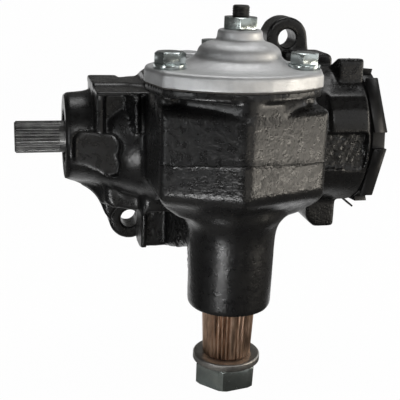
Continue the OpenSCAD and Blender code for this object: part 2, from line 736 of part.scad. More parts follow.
module adjuster_plug() {
    color([0.16, 0.16, 0.17]) difference() {
        union() {
            xcyl(plug_r, plug_x0, barrel_x1 - 1, worm_y, worm_z);
            xcyl(neck_r, barrel_x1 - 2, ring_x + ring_t - 1.5, worm_y, worm_z);
        }
        xcyl(cup_r + seat_gap, plug_x0 - 1, cup_x, worm_y, worm_z);
        xcyl(11.5, plug_x0, 78, worm_y, worm_z);
        translate([ring_x + ring_t - 9, worm_y, worm_z]) rotate([0, 90, 0])
            cylinder(r = 16, h = 12, $fn = 6);
    }
}

// Notched hexagon ring that locks the plug
module adjuster_locknut() {
    rc = ring_af / sqrt(3);
    color([0.1, 0.1, 0.11]) difference() {
        translate([ring_x, worm_y, worm_z]) rotate([-ring_turn, 0, 0]) rotate([0, 90, 0])
            rotate([0, 0, 90]) cylinder(r = rc, h = ring_t, $fn = 6);
        xcyl(neck_r + seat_gap, ring_x - 1, ring_x + ring_t + 1, worm_y, worm_z);
        for (k = [0:5]) translate([ring_x - 1, worm_y, worm_z]) rotate([k * 60 - ring_turn, 0, 0])
            translate([0, rc - 6, -4.8]) cube([ring_t + 2, 9, 9.6]);
    }
}

module adjuster_tab_washer() {
    z = worm_z;
    color([0.14, 0.14, 0.15]) difference() {
        union() {
            xcyl(40, barrel_x1, ring_x, worm_y, worm_z);
            // Key, a small upper tab and a lower tab bent under the ring
            box(barrel_x1 - 2, barrel_x1 + 0.5, worm_y - 3, worm_y + 3, z + 35, z + 40);
            y_plate([[barrel_x1, z + 35], [ring_x, z + 35], [ring_x, z + 42], [ring_x + 1.2, z + 46.6],
                [barrel_x1 + 1.2, z + 47], [barrel_x1, z + 42.4]], 61, 65);
            y_plate([[barrel_x1, z - 35], [barrel_x1, z - 43], [ring_x + 5.6, z - 48.6],
                [ring_x + 6.4, z - 47.7], [ring_x, z - 42.5], [ring_x, z - 35]], worm_y - 5, worm_y + 5);
        }
        xcyl(neck_r + 0.3, barrel_x1 - 3, ring_x + 1, worm_y, worm_z);
    }
}

gear_housing();
side_cover();
cover_gasket();
cover_bolts();
cover_lock_washers();
cover_bushing();
lash_adjuster();
lash_locknut();
lash_shim();
pitman_shaft();
pitman_bushing_upper();
pitman_bushing_lower();
pitman_seal();
pitman_lock_washer();
pitman_nut();
worm_shaft();
ball_nut();
ball_guides();
guide_clamp();
clamp_screws();
recirculating_balls();
upper_bearing_cup();
upper_bearing_balls();
upper_bearing_cage();
lower_bearing_cup();
lower_bearing_balls();
lower_bearing_cage();
worm_seal();
adjuster_plug();
adjuster_locknut();
adjuster_tab_washer();
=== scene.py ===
"""Looks of a manual steering gear: castings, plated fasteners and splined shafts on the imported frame."""

import math

import bpy
import numpy as np
from mathutils import Matrix, Vector


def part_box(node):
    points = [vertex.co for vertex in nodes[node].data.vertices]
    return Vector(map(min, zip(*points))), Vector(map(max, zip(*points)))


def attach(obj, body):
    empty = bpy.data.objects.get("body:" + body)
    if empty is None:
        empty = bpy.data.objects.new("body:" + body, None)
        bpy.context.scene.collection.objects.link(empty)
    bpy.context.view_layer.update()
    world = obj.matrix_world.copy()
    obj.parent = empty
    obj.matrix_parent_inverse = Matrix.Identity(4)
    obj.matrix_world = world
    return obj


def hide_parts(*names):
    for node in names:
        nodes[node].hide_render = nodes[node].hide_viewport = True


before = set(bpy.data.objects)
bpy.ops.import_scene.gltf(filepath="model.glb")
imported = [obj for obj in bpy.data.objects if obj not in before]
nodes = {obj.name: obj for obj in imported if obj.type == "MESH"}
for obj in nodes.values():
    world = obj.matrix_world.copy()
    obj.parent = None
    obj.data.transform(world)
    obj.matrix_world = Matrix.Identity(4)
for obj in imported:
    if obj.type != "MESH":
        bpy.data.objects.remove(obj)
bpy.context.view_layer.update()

MM = 0.001
# Axes, planes and bores of the solids, in millimetres
WORM_Y = 58.5
WORM_Z = 88.0
WORM_BORE_R = 34.0
WORM_BORE_X = -54.0
NOSE_BORE_R = 21.0
NOSE_BORE_X = -50.0
TUBE_BORE_R = 21.6
TUBE_BORE_TOP = 72.0
TUBE_FOOT_Z = 0.5
TAB_WASHER = 1.2
SEAT_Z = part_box("cover_gasket")[0].z / MM
SEAT_X = (-55.0, 47.0)
SEAT_BACK = 58.0
NOSE_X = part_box("gear_housing")[0].x / MM
BARREL_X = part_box("adjuster_tab_washer")[1].x / MM - TAB_WASHER
MOUNT_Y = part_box("gear_housing")[1].y / MM
LUGS = ((53.0, WORM_Z + 57.0), (-47.5, WORM_Z - 60.5))
LUG_HOLE_R = 6.0
# How far past a cut face or a bore's wall the skin still counts as machined
CUT_SKIN = 0.4
FOOT_SKIN = 0.3
WORM_SKIN = 0.6
LUG_SKIN = 0.5
# Radii inside which the housing and the cover get no sand relief
WORM_CLEAR_R = WORM_BORE_R + 2.0
TUBE_CLEAR_R = 22.5
COVER_CLEAR_R = 5.6
COVER_CLEAR_H = 1.4

# Regions of the casting in millimetres: two corners and a soft width; heights count from the worm axis
BLOCK_FRONT = ((-60, -60, -13), (60, -2, 31), 3)
PITMAN_TUBE = ((-34, -34, -110), (34, 40, -44), 3)
PADS = (((69, 33, 24), (90, 37, 52), 2), ((58, 41, -60), (80, 45, -30), 2))
NOSE_CHEEK = ((-66, 15, -20), (-58, 40, 9), 2)
CHEEKS = (
    ((-58, 18, 9), (-50, 32, 30), 1.5),
    ((-31, 6, -68), (-23, 50, -42), 2),
    ((-43, 40, -68), (-24, 48, -42), 2),
)
ROUGH_BAND = ((51, 14, -15), (87, 24, 9), 2)
NOSE_TEAR = ((-67, 14, -20), (-55, 36, 8), 1.5)
TEARS = (
    ((-58, 18, 10), (-51, 32, 30), 1),
    ((-31, 4, -68), (-24, 30, -42), 1.5),
    ((52, 14, -14), (86, 24, 8), 1),
)
HOLLOWS = (
    ((-57, 5, -38), (-43, 42, 6), 4),
    ((45, 2, -34), (50, 26, 30), 2),
    ((-42, -34, -46), (42, 30, -27), 3),
    ((-92, 36, -48), (-66, 102, -24), 3),
    ((-28, 0, -74), (-16, 24, -40), 4),
)
# Coarseness of the sand skin: everywhere, and what each region adds
SKIN_PLAIN = 0.22
SKIN_BLOCK = 0.6
SKIN_TUBE = 0.45
SKIN_PADS = 0.9
SKIN_CHEEKS = 2.2
SKIN_BAND = 3.2
# Share of the cheeks' coarseness and of the tears that the nose recess's end keeps
NOSE_CHEEK_SHARE = 0.1
NOSE_TEAR_SHARE = 0.2
# Relief of the castings: height and feature size in millimetres
SAND = (0.075, 1.5)
CLUMPS = (0.03, 3.2)
WAVES = (0.16, 20.0)
COVER_SAND = (0.05, 3.0)
COVER_WAVES = (0.10, 14.0)
# The torn ridges: height, slant, stretch along it, wander, size, sharpness and chips
TEAR_HEIGHT = 0.5
RIDGE_SLANT = 0.7
RIDGE_STRETCH = 0.35
RIDGE_WANDER = (0.7, 4.0)
RIDGE_SIZE = 2.4
RIDGE_SHARP = 2.6
RIDGE_SHARE = 0.65
RIDGE_CHIPS = (0.5, 1.5)
# The parting line on the block: height over the worm axis, fall to each side and the ridge's place
SEAM_RISE = 6.0
SEAM_FALL = 0.075
SEAM_X = -5.0
# Its raised ridge, the half widths and wander of its groove, which is sunk by a bump and darkened as
# painted shade, and the faces that it runs on
SEAM_RIDGE = 0.22
SEAM_CHIPS = (0.2, 4.0)
SEAM_WIDTH = 1.1
SEAM_GROOVE = (0.12, 0.42)
SEAM_WANDER = 0.45
SEAM_SPAN_X = (-49, 46)
SEAM_SPAN_Z = (-8, 18)
SEAM_FACE_Y = (12.0, 20.0)

# Width of the broken edges of the turned and forged pieces, in millimetres
EDGE_BREAKS = {
    "cover_bolts": 0.3, "cover_lock_washers": 0.25, "lash_locknut": 0.3, "pitman_lock_washer": 0.2,
    "pitman_nut": 0.4, "pitman_shaft": 0.12, "worm_shaft": 0.1, "adjuster_locknut": 0.5,
    "adjuster_tab_washer": 0.2, "adjuster_plug": 0.4,
}
EDGE_ANGLE = 28.0
WELD = 0.002
# The lash screw's thread, head, tip and socket, in millimetres
SCREW_SIDES = 64
SCREW_R = 4.7
SCREW_PITCH = 1.27
SCREW_THREAD = 0.4
SCREW_HEAD_R = 7.4
SCREW_HEAD_H = 3.8
SCREW_TIP = 0.9
SCREW_SOCKET = 4.7
SCREW_SOCKET_DEPTH = 3.6
SCREW_SOCKET_POINT = 4.2
# Heights between which the shaft goes from the brown spline to bare steel, in millimetres
SPLINE_TOP = (-2.6, -1.0)

# Camera of the photograph: angles, focal length in pixels and where the worm plane's centre falls
IMAGE = 400.0
VIEW_TURN = 12.6
VIEW_TILT = 16.3
VIEW_ROLL = 1.9
FOCAL = 870.0
SENSOR = 36.0
ANCHOR = Vector((0.0, 0.0, WORM_Z * MM))
ANCHOR_PIXEL = (234.65, 156.34)
ANCHOR_DEPTH = 0.4863
# Heights of the floor, the lying panels, the cards on them and the low lamps, from the pitman shaft's end
SHAFT_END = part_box("pitman_shaft")[0].z
FLOOR_Z = SHAFT_END - 0.0002
PANEL_Z = SHAFT_END + 0.001
CARD_Z = PANEL_Z + 0.0005
LOW_LAMP_Z = SHAFT_END + 0.004
FLOOR_HALF = 6.0
# Share of the floor's look that is plain white, so that it meets the white background
FLOOR_WHITE = 0.985
WORLD_FILL = 0.45
# Colours of the lamps
WARM = (1.0, 0.93, 0.82)
PLAIN = (1.0, 1.0, 1.0)
COOL = (0.97, 0.99, 1.0)
# Lamps turned to the part's middle: place, size, power in watts and colour
MIDDLE = (0.0, 0.02, 0.08)
LAMPS = {
    "right_softbox": ((0.76, -0.22, 0.2), (0.36, 0.42), 2.8, WARM),
    "top_softbox": ((0.1, 0.3, 0.9), (0.6, 0.4), 2.8, PLAIN),
    "front_softbox": ((-0.05, -1.05, 0.62), (0.6, 0.3), 2.2, PLAIN),
    "left_strip": ((-0.7, -0.46, 0.16), (0.16, 0.4), 1.4, COOL),
}
# Lamps that lie low in front and face up
LOW_LAMPS = {
    "right_card": ((0.44, -0.27), (0.26, 0.18), 2.0, WARM),
    "front_card": ((0.16, -0.55), (0.26, 0.14), 0.7, WARM),
    "low_strip": ((-0.12, -0.2), (0.045, 0.15), 0.46, PLAIN),
}
# Greys of the panels round the set, and the set's bounds in metres
FLAG_BLACK = 0.07
FLAG_DARK = 0.16
FLAG_MID = 0.26
FLAG_PALE = 0.5
FLAG_WHITE = 0.7
SET_SIDE = 1.3
SET_FRONT = -1.2
SET_BACK = 1.5
SET_TOP = 1.5
FLAG_EDGE = 0.05
WING_BACK = 0.7
BACK_FLAG_LOW = 0.14


def lattice(cells, seed):
    """A repeatable value from 0 to 1 for each whole-number cell."""
    c = cells.astype(np.uint64)
    h = c[:, 0] * np.uint64(73856093) ^ c[:, 1] * np.uint64(19349663) ^ c[:, 2] * np.uint64(83492791)
    h = (h ^ np.uint64(seed * 2654435761 % 4294967296)) * np.uint64(6364136223846793005)
    return ((h >> np.uint64(33)).astype(np.float64)) / 2147483648.0


def grain(points, size, seed):
    """Smooth noise from -1 to 1 with features of the given size."""
    q = points / size + 1000.0
    low = np.floor(q)
    f = q - low
    f = f * f * (3.0 - 2.0 * f)
    total = np.zeros(len(points))
    for corner in range(8):
        step = np.array([corner & 1, corner >> 1 & 1, corner >> 2 & 1])
        weight = np.prod(np.where(step, f, 1.0 - f), axis=1)
        total += weight * lattice(low + step, seed)
    return total * 2.0 - 1.0


def relief(points, kind, seed):
    """Noise of a kind given by its height and feature size."""
    height, size = kind
    return height * grain(points, size, seed)


def ramp(value, low, high):
    """0 at low, 1 at high, smooth between."""
    t = np.clip((value - low) / (high - low), 0.0, 1.0)
    return t * t * (3.0 - 2.0 * t)


def within(value, low, high, soft):
    """1 inside the span, falling to 0 over the soft width outside it."""
    return ramp(value, low - soft, low) * (1.0 - ramp(value, high, high + soft))


def inside(points, region):
    """1 inside one region of the casting, falling off over its soft width."""
    lows, highs, soft = region
    points = points - [0.0, 0.0, WORM_Z]
    parts = [within(points[:, k], lows[k], highs[k], soft) for k in range(3)]
    return parts[0] * parts[1] * parts[2]


def inside_any(points, regions):
    """The highest share over several regions."""
    return np.maximum.reduce([inside(points, region) for region in regions])


def by_speed(full):
    return full


def add_object(name, data):
    """A new object in the scene."""
    made = bpy.data.objects.new(name, data)
    bpy.context.scene.collection.objects.link(made)
    return made


def voxel_piece(node, name, voxel):
    """A new object with the node's form as an even mesh of small quads."""
    piece = add_object(name, nodes[node].data.copy())
    remesh = piece.modifiers.new("even", "REMESH")
    remesh.mode = "VOXEL"
    remesh.voxel_size = voxel * MM
    remesh.adaptivity = 0.0
    bpy.context.view_layer.update()
    made = bpy.data.meshes.new_from_object(piece.evaluated_get(bpy.context.evaluated_depsgraph_get()))
    piece.modifiers.clear()
    piece.data = made
    piece.data.materials.clear()
    return piece


def read_points(mesh):
    """Vertex places in millimetres."""
    co = np.empty(len(mesh.vertices) * 3, np.float32)
    mesh.vertices.foreach_get("co", co)
    return co.reshape(-1, 3).astype(np.float64) / MM


def read_normals(mesh):
    """Vertex normals."""
    n = np.empty(len(mesh.vertices) * 3, np.float32)
    mesh.vertices.foreach_get("normal", n)
    return n.reshape(-1, 3).astype(np.float64)


def write_points(mesh, points):
    """Puts millimetre places back on the mesh."""
    mesh.vertices.foreach_set("co", (points * MM).astype(np.float32).ravel())
    mesh.update()


def edges_of(mesh):
    """Pairs of joined vertices."""
    e = np.empty(len(mesh.edges) * 2, np.int32)
    mesh.edges.foreach_get("vertices", e)
    return e.reshape(-1, 2)


def relax(points, edges, weight, rounds):
    """Moves each point half way to the mean of its neighbours, as far as its weight allows."""
    n = len(points)
    a, b = edges[:, 0], edges[:, 1]
    degree = np.maximum(np.bincount(a, minlength=n) + np.bincount(b, minlength=n), 1)
    for _ in range(rounds):
        mean = np.empty_like(points)
        for k in range(3):
            mean[:, k] = np.bincount(a, points[b, k], n) + np.bincount(b, points[a, k], n)
        points = points + 0.5 * weight[:, None] * (mean / degree[:, None] - points)
    return points


def shade_smooth(mesh):
    """Smooth shading on every face."""
    mesh.polygons.foreach_set("use_smooth", np.ones(len(mesh.polygons), bool))
    mesh.update()


def store(mesh, name, values):
    """Keeps one number for each vertex, for the material to read."""
    attribute = mesh.attributes.new(name, "FLOAT", "POINT")
    attribute.data.foreach_set("value", values.astype(np.float32))


def worm_radius(p):
    """Distance from the worm axis."""
    return np.hypot(p[:, 1] - WORM_Y, p[:, 2] - WORM_Z)


def tube_radius(p):
    """Distance from the pitman shaft's axis."""
    return np.hypot(p[:, 0], p[:, 1])


def machined_share(p):
    """1 on the housing's cut faces and bores, which stay crisp, and 0 on the raw casting."""
    x, y, z = p[:, 0], p[:, 1], p[:, 2]
    cut = (z > SEAT_Z - CUT_SKIN) & (x < SEAT_X[1]) & (x > SEAT_X[0]) & (y < SEAT_BACK)
    cut |= x < NOSE_X + CUT_SKIN
    cut |= x > BARREL_X - CUT_SKIN
    cut |= y > MOUNT_Y - CUT_SKIN
    cut |= z < TUBE_FOOT_Z + FOOT_SKIN
    cut |= (worm_radius(p) < WORM_BORE_R + WORM_SKIN) & (x > WORM_BORE_X)
    cut |= (worm_radius(p) < NOSE_BORE_R) & (x < NOSE_BORE_X)
    cut |= (tube_radius(p) < TUBE_BORE_R) & (z < TUBE_BORE_TOP)
    for lug_x, lug_z in LUGS:
        cut |= np.hypot(x - lug_x, z - lug_z) < LUG_HOLE_R + LUG_SKIN
    return cut.astype(np.float64)


def rough_share(p):
    """How coarse the sand skin is: low on the smooth panels and high in the cored pockets."""
    cheeks = np.maximum(NOSE_CHEEK_SHARE * inside(p, NOSE_CHEEK), inside_any(p, CHEEKS))
    return (SKIN_PLAIN + SKIN_BLOCK * inside(p, BLOCK_FRONT) + SKIN_TUBE * inside(p, PITMAN_TUBE)
            + SKIN_PADS * inside_any(p, PADS) + SKIN_CHEEKS * cheeks + SKIN_BAND * inside(p, ROUGH_BAND))


def torn_share(p):
    """1 where the casting's skin is torn, and a small share at the nose recess's end."""
    return np.maximum(NOSE_TEAR_SHARE * inside(p, NOSE_TEAR), inside_any(p, TEARS))


def ridges(p):
    """Sharp uneven ridges from about -1 to 1, drawn out along a slant."""
    across = p[:, 0] - RIDGE_SLANT * p[:, 2]
    along = RIDGE_STRETCH * (p[:, 2] + RIDGE_SLANT * p[:, 0])
    q = np.stack([across, p[:, 1], along], axis=1) + relief(p, RIDGE_WANDER, 21)[:, None]
    crests = 1.0 - RIDGE_SHARP * np.abs(grain(q, RIDGE_SIZE, 22))
    return RIDGE_SHARE * crests + relief(p, RIDGE_CHIPS, 23)


def seam_face_share(p):
    """1 on the two front faces of the chamber block, where the parting line runs."""
    span = within(p[:, 0], *SEAM_SPAN_X, 1) * within(p[:, 2] - WORM_Z, *SEAM_SPAN_Z, 1)
    return ramp(-p[:, 1], *SEAM_FACE_Y) * span


def parting_ridge(p):
    """A low ridge along the parting line."""
    height = WORM_Z + SEAM_RISE - SEAM_FALL * np.abs(p[:, 0] - SEAM_X)
    return np.exp(-((p[:, 2] - height) / SEAM_WIDTH) ** 2) * seam_face_share(p)


def cast_housing():
    """The housing as a sand casting: soft edges, wide fillets, coarse skin and a parting line."""
    piece = voxel_piece("gear_housing", "housing_casting", by_speed(0.85))
    mesh = piece.data
    p = read_points(mesh)
    raw = 1.0 - machined_share(p)
    edges = edges_of(mesh)
    p = relax(p, edges, raw, by_speed(7))
    p = relax(p, edges, raw * inside_any(p, HOLLOWS), by_speed(36))
    write_points(mesh, p)
    normals = read_normals(mesh)
    rough = rough_share(p)
    lift = rough * (relief(p, SAND, 1) + relief(p, CLUMPS, 2)) + relief(p, WAVES, 3)
    lift += parting_ridge(p) * (SEAM_RIDGE + relief(p, SEAM_CHIPS, 5))
    lift += TEAR_HEIGHT * torn_share(p) * ridges(p)
    outside = (worm_radius(p) > WORM_CLEAR_R) & (tube_radius(p) > TUBE_CLEAR_R)
    write_points(mesh, p + normals * (lift * raw * outside)[:, None])
    store(mesh, "skin", rough)
    store(mesh, "front", seam_face_share(p))
    shade_smooth(mesh)
    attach(piece, "housing")
    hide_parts("gear_housing")
    return piece


def cast_cover():
    """The side cover as a die casting with rolled edges."""
    piece = voxel_piece("side_cover", "cover_casting", by_speed(0.6))
    mesh = piece.data
    p = read_points(mesh)
    held = (p[:, 2] < SEAT_Z + COVER_CLEAR_H) | (tube_radius(p) < COVER_CLEAR_R)
    p = relax(p, edges_of(mesh), 1.0 - held.astype(np.float64), 12)
    write_points(mesh, p)
    n = read_normals(mesh)
    lift = relief(p, COVER_SAND, 11) + relief(p, COVER_WAVES, 12)
    write_points(mesh, p + n * (lift * (1.0 - held))[:, None])
    shade_smooth(mesh)
    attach(piece, "housing")
    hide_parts("side_cover")
    return piece


def screw_rows(around, low, high):
    """Heights along the lash screw and its radius at each, with its thread, head and chamfered tip."""
    heights = np.arange(low, high, SCREW_PITCH / 8.0)
    turn = (heights[:, None] / SCREW_PITCH - around[None, :] / (2.0 * math.pi)) % 1.0
    radius = SCREW_R - SCREW_THREAD * np.abs(2.0 * turn - 1.0)
    radius = np.minimum(radius, SCREW_R - SCREW_TIP + (high - heights)[:, None])
    radius[heights < low + SCREW_HEAD_H] = SCREW_HEAD_R
    return list(zip(radius, heights))


def socket_rows(around, high):
    """The rim of the screw's tip and the hexagon socket sunk in it."""
    sector = (around + math.pi / 6.0) % (math.pi / 3.0) - math.pi / 6.0
    socket = SCREW_SOCKET / 2.0 / np.cos(sector)
    rim = np.full(SCREW_SIDES, SCREW_R - SCREW_TIP)
    return [(rim, high), (socket, high), (socket, high - SCREW_SOCKET_DEPTH),
            (socket * 0.1, high - SCREW_SOCKET_POINT)]


def lash_screw():
    """The lash adjuster with a real helical thread and a hexagon socket."""
    low, high = (v.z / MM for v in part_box("lash_adjuster"))
    sides = SCREW_SIDES
    around = np.linspace(0.0, 2.0 * math.pi, sides, endpoint=False)
    rings = screw_rows(around, low, high) + socket_rows(around, high)
    points = [(r * math.cos(a), r * math.sin(a), z) for ring, z in rings for r, a in zip(ring, around)]
    last = (len(rings) - 1) * sides
    faces = [(k + i, k + (i + 1) % sides, k + sides + (i + 1) % sides, k + sides + i)
             for k in range(0, last, sides) for i in range(sides)]
    faces.append(tuple(range(sides - 1, -1, -1)))
    faces.append(tuple(last + i for i in range(sides)))
    mesh = bpy.data.meshes.new("lash_screw")
    mesh.from_pydata([Vector(v) * MM for v in points], [], faces)
    piece = add_object("lash_screw", mesh)
    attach(piece, "housing")
    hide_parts("lash_adjuster")
    return piece


class Paint:
    """One procedural material and the few node links that the surfaces share."""

    def __init__(self, name, metallic=0.0, specular=0.5):
        self.material = bpy.data.materials.new(name)
        self.material.use_nodes = True
        self.tree = self.material.node_tree
        self.shader = self.tree.nodes["Principled BSDF"]
        self.shader.inputs["Metallic"].default_value = metallic
        self.shader.inputs["Specular IOR Level"].default_value = specular
        self.coords = self.node("ShaderNodeTexCoord").outputs["Object"]
        self.bumped = None

    def node(self, kind):
        return self.tree.nodes.new(kind)

    def link(self, source, target):
        self.tree.links.new(source, target)

    def noise(self, size, detail=3.0, roughness=0.55, stretch=(1.0, 1.0, 1.0)):
        """Noise whose features are about size millimetres, stretched along the axes."""
        mapping = self.node("ShaderNodeMapping")
        mapping.inputs["Scale"].default_value = [1.0 / s for s in stretch]
        self.link(self.coords, mapping.inputs["Vector"])
        noise = self.node("ShaderNodeTexNoise")
        noise.inputs["Scale"].default_value = 1.0 / (size * MM)
        noise.inputs["Detail"].default_value = detail
        noise.inputs["Roughness"].default_value = roughness
        self.link(mapping.outputs["Vector"], noise.inputs["Vector"])
        return noise.outputs["Fac"]

    def spread(self, value, low, high, start=0.3, end=0.7):
        """Maps a value that runs from start to end onto the range from low to high."""
        m = self.node("ShaderNodeMapRange")
        m.inputs["From Min"].default_value = start
        m.inputs["From Max"].default_value = end
        m.inputs["To Min"].default_value = low
        m.inputs["To Max"].default_value = high
        self.link(value, m.inputs["Value"])
        return m.outputs["Result"]

    def colours(self, value, stops):
        """Colour by a value, from a list of (place, colour)."""
        r = self.node("ShaderNodeValToRGB")
        while len(r.color_ramp.elements) < len(stops):
            r.color_ramp.elements.new(0.5)
        for element, (place, colour) in zip(r.color_ramp.elements, stops):
            element.position = place
            element.color = (*colour, 1.0)
        self.link(value, r.inputs["Fac"])
        return r.outputs["Color"]

    def base(self, value):
        self.link(value, self.shader.inputs["Base Color"])

    def rough(self, value):
        self.link(value, self.shader.inputs["Roughness"])

    def bump(self, value, height, strength=1.0, weight=None):
        """Adds a bump of the given height in millimetres, scaled by a weight where one is given."""
        b = self.node("ShaderNodeBump")
        b.inputs["Distance"].default_value = height * MM
        b.inputs["Strength"].default_value = strength
        self.link(value, b.inputs["Height"])
        if weight is not None:
            self.link(weight, b.inputs["Strength"])
        if self.bumped is not None:
            self.link(self.bumped, b.inputs["Normal"])
        self.bumped = b.outputs["Normal"]
        self.link(self.bumped, self.shader.inputs["Normal"])

    def stored(self, name):
        """A number kept on the mesh."""
        a = self.node("ShaderNodeAttribute")
        a.attribute_name = name
        return a.outputs["Fac"]

    def axis(self, index):
        """One coordinate of the object, in metres."""
        s = self.node("ShaderNodeSeparateXYZ")
        self.link(self.coords, s.inputs["Vector"])
        return s.outputs[index]

    def maths(self, operation, a, b):
        """One step of arithmetic on two values; each may be a number."""
        n = self.node("ShaderNodeMath")
        n.operation = operation
        for socket, value in zip(n.inputs, (a, b)):
            if isinstance(value, float):
                socket.default_value = value
            else:
                self.link(value, socket)
        return n.outputs["Value"]

    def mix(self, share, a, b):
        """Colour a where the share is 0 and b where it is 1."""
        m = self.node("ShaderNodeMix")
        m.data_type = "RGBA"
        self.link(share, m.inputs["Factor"])
        self.link(a, m.inputs["A"])
        self.link(b, m.inputs["B"])
        return m.outputs["Result"]


def seam_share(m):
    """1 on the thin uneven groove along the block's parting line, where the bump sinks and the colour is
    darkened as painted shade.
    """
    side = m.maths("ABSOLUTE", m.maths("SUBTRACT", m.axis(0), SEAM_X * MM), 0.0)
    fall = m.maths("MULTIPLY", side, SEAM_FALL)
    above = m.maths("SUBTRACT", m.axis(2), (WORM_Z + SEAM_RISE) * MM)
    wander = m.spread(m.noise(6, 3), -SEAM_WANDER * MM, SEAM_WANDER * MM)
    away = m.maths("ABSOLUTE", m.maths("ADD", m.maths("ADD", above, fall), wander), 0.0)
    groove = m.spread(away, 1.0, 0.0, SEAM_GROOVE[0] * MM, SEAM_GROOVE[1] * MM)
    return m.maths("MULTIPLY", groove, m.stored("front"))


def casting_paint():
    """Gloss black paint over sand-cast iron, with painted shade darkening the thin groove along the
    parting line.
    """
    m = Paint("black_casting_paint", specular=0.38)
    tint = m.colours(m.noise(14, 5), [(0.3, (0.0045, 0.0045, 0.005)), (0.75, (0.009, 0.0088, 0.0085))])
    # Painted shade: near-black colour in the parting line's groove, standing in for the shade that falls
    # in it
    groove = m.colours(m.noise(2, 3), [(0.3, (0.001, 0.001, 0.001)), (0.8, (0.003, 0.003, 0.003))])
    seam = seam_share(m)
    m.base(m.mix(seam, tint, groove))
    m.rough(m.spread(m.noise(4, 5), 0.22, 0.38))
    weight = m.spread(m.stored("skin"), 0.25, 1.0, 0.42, 1.0)
    m.bump(m.noise(1.3, 1, 0.5), 0.26, weight=weight)
    m.bump(m.noise(0.5, 2, 0.5), 0.02, 0.6)
    m.bump(m.maths("SUBTRACT", 1.0, seam), 0.5)
    return m.material


def ring_paint():
    """Black paint on the lock ring and its tab washer."""
    m = Paint("black_ring_paint", specular=0.3)
    m.base(m.colours(m.noise(9, 4), [(0.3, (0.006, 0.006, 0.0065)), (0.8, (0.016, 0.0155, 0.015))]))
    m.rough(m.spread(m.noise(3, 4), 0.29, 0.46))
    m.bump(m.noise(0.8, 3, 0.6), 0.06, 0.7)
    return m.material


def cast_aluminium():
    """Dull blasted aluminium with a fine pitted skin."""
    m = Paint("satin_cast_aluminium", metallic=1.0)
    m.base(m.colours(m.noise(12, 5, 0.65), [(0.25, (0.48, 0.485, 0.49)), (0.75, (0.61, 0.615, 0.62))]))
    m.rough(m.spread(m.noise(2.5, 5, 0.65), 0.48, 0.64))
    m.bump(m.noise(0.8, 4, 0.65), 0.16, 0.7)
    m.bump(m.noise(5.0, 3, 0.5), 0.14, 0.4)
    return m.material


def zinc(name, dark, light):
    """Plated steel with a faint blue-green passivation."""
    m = Paint(name, metallic=1.0)
    m.base(m.colours(m.noise(7, 4), [(0.25, dark), (0.75, light)]))
    m.rough(m.spread(m.noise(1.6, 5, 0.6), 0.16, 0.28))
    m.bump(m.noise(1.1, 3), 0.02, 0.5)
    return m.material


def steel(name, dark, light, roughness, grain_height=0.03):
    """Bare or treated metal with a fine grain."""
    m = Paint(name, metallic=1.0)
    m.base(m.colours(m.noise(5, 5, 0.6), [(0.25, dark), (0.75, light)]))
    m.rough(m.spread(m.noise(1.8, 4), roughness - 0.07, roughness + 0.12))
    m.bump(m.noise(0.6, 3), grain_height, 0.7)
    return m.material


def arm_spline_steel():
    """Heat-tinted brown on the arm spline, with bare steel on the band above it."""
    m = Paint("brown_spline_steel", metallic=1.0)
    streaks = m.noise(2.2, 5, 0.65, stretch=(1.0, 1.0, 6.0))
    brown = m.colours(streaks, [(0.28, (0.2, 0.13, 0.09)), (0.55, (0.52, 0.345, 0.245)),
                                (0.8, (0.76, 0.6, 0.48))])
    bare = m.colours(m.noise(3, 4), [(0.3, (0.42, 0.41, 0.39)), (0.7, (0.6, 0.59, 0.57))])
    share = m.spread(m.axis(2), 0.0, 1.0, SPLINE_TOP[0] * MM, SPLINE_TOP[1] * MM)
    m.base(m.mix(share, brown, bare))
    m.rough(m.spread(streaks, 0.3, 0.5))
    m.bump(streaks, 0.05, 0.6)
    return m.material


def soft_stuff(name, low, high, roughness):
    """Dull rubber or fibre."""
    m = Paint(name)
    m.base(m.colours(m.noise(4, 4), [(0.3, low), (0.7, high)]))
    m.rough(m.spread(m.noise(2, 3), roughness - 0.06, roughness + 0.08))
    m.bump(m.noise(0.7, 3), 0.05, 0.5)
    return m.material


def paint(target, material):
    """Puts one material on an object."""
    target.data.materials.clear()
    target.data.materials.append(material)


def soften(node, width):
    """Breaks a solid's sharp edges with a fine bevel."""
    piece = nodes[node]
    weld = piece.modifiers.new("weld", "WELD")
    weld.merge_threshold = WELD * MM
    bevel = piece.modifiers.new("edge_break", "BEVEL")
    bevel.width = width * MM
    bevel.segments = 2
    bevel.limit_method = "ANGLE"
    bevel.angle_limit = math.radians(EDGE_ANGLE)
    bevel.harden_normals = True
    shade_smooth(piece.data)


